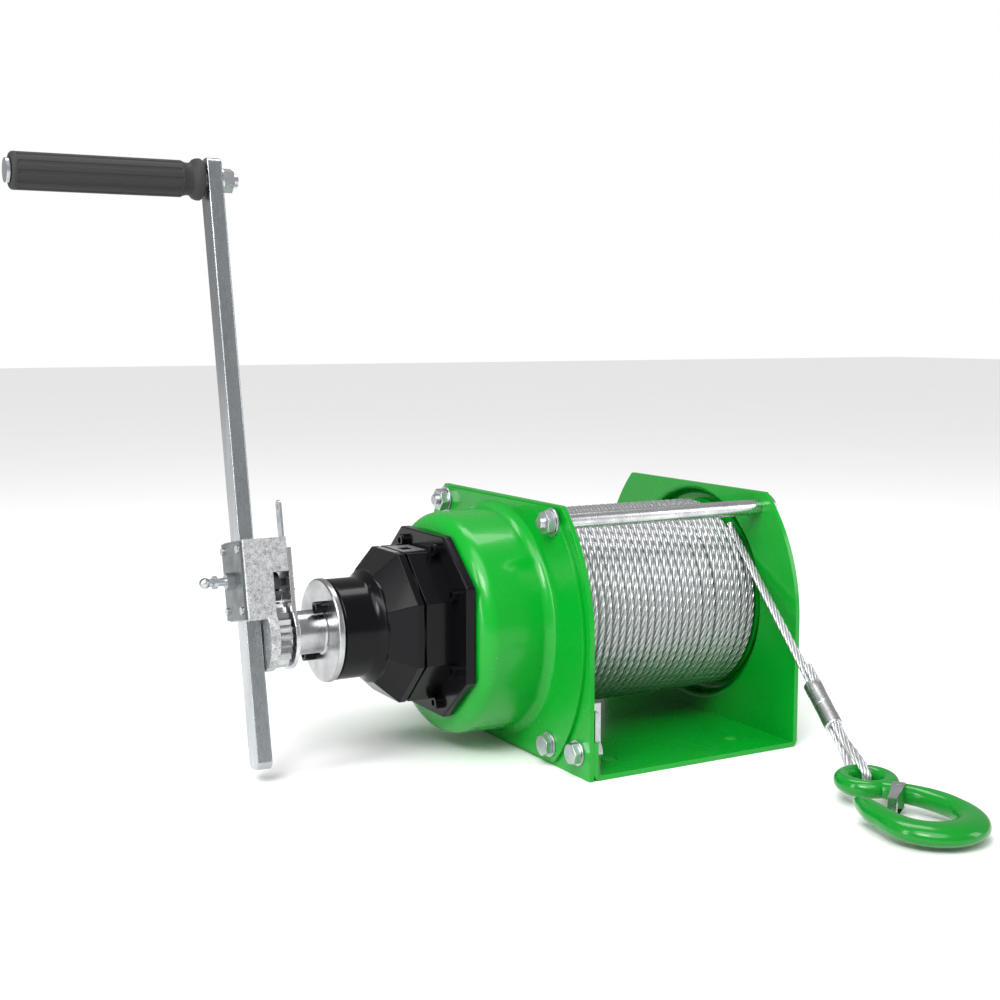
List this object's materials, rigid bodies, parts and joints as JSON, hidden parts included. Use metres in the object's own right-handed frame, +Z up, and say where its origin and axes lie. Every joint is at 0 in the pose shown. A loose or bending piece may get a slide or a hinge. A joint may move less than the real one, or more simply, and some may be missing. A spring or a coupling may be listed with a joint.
{
  "type": "hand winch",
  "caption": "Hand winch with a wire rope drum between bent side plates, planetary drive, automatic brake and a sliding ratchet crank.",
  "frame": {"origin": "centre of the four base bolt holes on the underside of the base, below the drum axis", "axes": "+X along the drum axis away from the crank, -Y the way the rope leaves, +Z up"},
  "size_m": [0.5955, 0.5326, 0.4705],
  "materials": {
    "green_paint": "glossy powder coat",
    "black_paint": "high gloss",
    "rubber_black": "matt",
    "grip_plastic": "satin, fluted",
    "dark_steel": "oiled black steel",
    "zinc_steel": "bright zinc plate",
    "zinc_cast": "plated rough casting",
    "polished_steel": "turned and polished",
    "bronze": "plain bearing bronze",
    "friction_lining": "matt lining",
    "wire_rope": "galvanised stranded wire"
  },
  "bodies": {
    "frame": {"frame_shell": "green_paint", "left_side_plate": "green_paint", "gear_case": "green_paint", "brake_housing": "black_paint", "flange_gasket": "rubber_black", "flange_screws": "dark_steel", "ring_gear": "dark_steel", "journal_bush_left": "bronze", "journal_bush_right": "bronze", "bearing_cap": "green_paint", "bearing_cap_screws": "zinc_steel", "tie_rod_front": "zinc_steel", "tie_rod_nuts": "zinc_steel", "lower_bolts": "zinc_steel", "corner_bracket_front": "zinc_steel", "corner_bracket_rear": "zinc_steel", "neck_bush": "bronze", "brake_pawl_pin": "dark_steel"},
    "drum": {"drum_barrel": "green_paint", "drum_flange_left": "green_paint", "drum_flange_right": "green_paint", "drum_journal_right": "zinc_steel", "planet_carrier": "dark_steel", "planet_pins": "dark_steel", "rope_winding": "wire_rope", "rope_clamp": "zinc_steel"},
    "planet_1": {"planet_gear_1": "dark_steel"},
    "planet_2": {"planet_gear_2": "dark_steel"},
    "planet_3": {"planet_gear_3": "dark_steel"},
    "input": {"input_shaft": "dark_steel", "sun_gear": "dark_steel", "brake_hub": "dark_steel", "friction_discs": "friction_lining", "brake_ratchet": "dark_steel", "drive_plate": "dark_steel", "brake_spring": "dark_steel", "drive_disc": "polished_steel", "stop_screws": "dark_steel", "crank_ratchet_wheel": "zinc_steel"},
    "brake_pawl": {"brake_pawl": "dark_steel"},
    "crank_head": {"crank_head_casting": "zinc_cast", "crank_cheek_plate": "zinc_cast", "crank_cover_plate": "zinc_steel", "cover_rivets_and_nut": "zinc_steel"},
    "selector": {"selector_pawl": "black_paint", "selector_pin": "zinc_steel", "selector_lever": "zinc_steel"},
    "lock_plunger": {"lock_plunger": "zinc_steel"},
    "crank_bar": {"crank_bar": "zinc_steel", "grip_bolt": "zinc_steel", "grip_nut_and_washer": "zinc_steel"},
    "grip": {"grip": "grip_plastic"},
    "rope_end": {"rope_tail": "wire_rope", "ferrule": "zinc_steel", "rope_loop": "wire_rope"},
    "hook": {"hook": "green_paint", "latch_pin": "zinc_steel"},
    "latch": {"hook_latch": "zinc_steel"}
  },
  "joints": [
    {"name": "drum_spin", "type": "hinge", "parent": "frame", "child": "drum", "pos_m": [0, 0, 0.108], "axis": [1, 0, 0], "continuous": true},
    {"name": "input_spin", "type": "hinge", "parent": "frame", "child": "input", "pos_m": [-0.25, 0, 0.108], "axis": [1, 0, 0], "continuous": true},
    {"name": "planet_1_spin", "type": "hinge", "parent": "drum", "child": "planet_1", "pos_m": [-0.142, 0.042, 0.108], "axis": [1, 0, 0], "continuous": true},
    {"name": "planet_2_spin", "type": "hinge", "parent": "drum", "child": "planet_2", "pos_m": [-0.142, -0.021, 0.14437], "axis": [1, 0, 0], "continuous": true},
    {"name": "planet_3_spin", "type": "hinge", "parent": "drum", "child": "planet_3", "pos_m": [-0.142, -0.021, 0.07163], "axis": [1, 0, 0], "continuous": true},
    {"name": "brake_pawl_swing", "type": "hinge", "parent": "frame", "child": "brake_pawl", "pos_m": [-0.185, 0.027, 0.144], "axis": [1, 0, 0], "range_deg": [-15, 0], "stiffness_Nm_per_rad": 0.02, "springref_deg": 11.46},
    {"name": "ratchet_swing", "type": "hinge", "parent": "input", "child": "crank_head", "pos_m": [-0.297, 0, 0.108], "axis": [1, 0, 0], "range_deg": [-90, 90]},
    {"name": "pawl_select", "type": "hinge", "parent": "crank_head", "child": "selector", "pos_m": [-0.297, 0.00763, 0.14727], "axis": [1, 0, 0], "range_deg": [-5, 5]},
    {"name": "bar_slide", "type": "slide", "parent": "crank_head", "child": "crank_bar", "axis": [0, 0.1908, 0.9816], "range_m": [-0.2, 0.08]},
    {"name": "lock_pin_pull", "type": "slide", "parent": "crank_head", "child": "lock_plunger", "axis": [-1, 0, 0], "range_m": [0, 0.006], "stiffness_N_per_m": 800, "springref_m": -0.002},
    {"name": "grip_spin", "type": "hinge", "parent": "crank_bar", "child": "grip", "pos_m": [-0.4, 0.06736, 0.45451], "axis": [1, 0, 0], "continuous": true},
    {"name": "rope_lead", "type": "hinge", "parent": "frame", "child": "rope_end", "pos_m": [0.1, 0, 0.108], "axis": [-1, 0, 0], "range_deg": [0, 24]},
    {"name": "hook_swing", "type": "hinge", "parent": "rope_end", "child": "hook", "pos_m": [0.0559, -0.2614, 0.0156], "axis": [0.9061, -0.423, 0], "range_deg": [-20, 90]},
    {"name": "hook_latch_swing", "type": "hinge", "parent": "hook", "child": "latch", "pos_m": [0.04718, -0.30986, 0.01394], "axis": [-0.0088, -0.0498, 0.9987], "range_deg": [0, 35], "stiffness_Nm_per_rad": 0.05, "springref_deg": -5.73}
  ],
  "couplings": [
    {"joint": "input_spin", "follows": "drum_spin", "ratio": 7},
    {"joint": "planet_1_spin", "follows": "drum_spin", "ratio": -2.4},
    {"joint": "planet_2_spin", "follows": "drum_spin", "ratio": -2.4},
    {"joint": "planet_3_spin", "follows": "drum_spin", "ratio": -2.4}
  ]
}
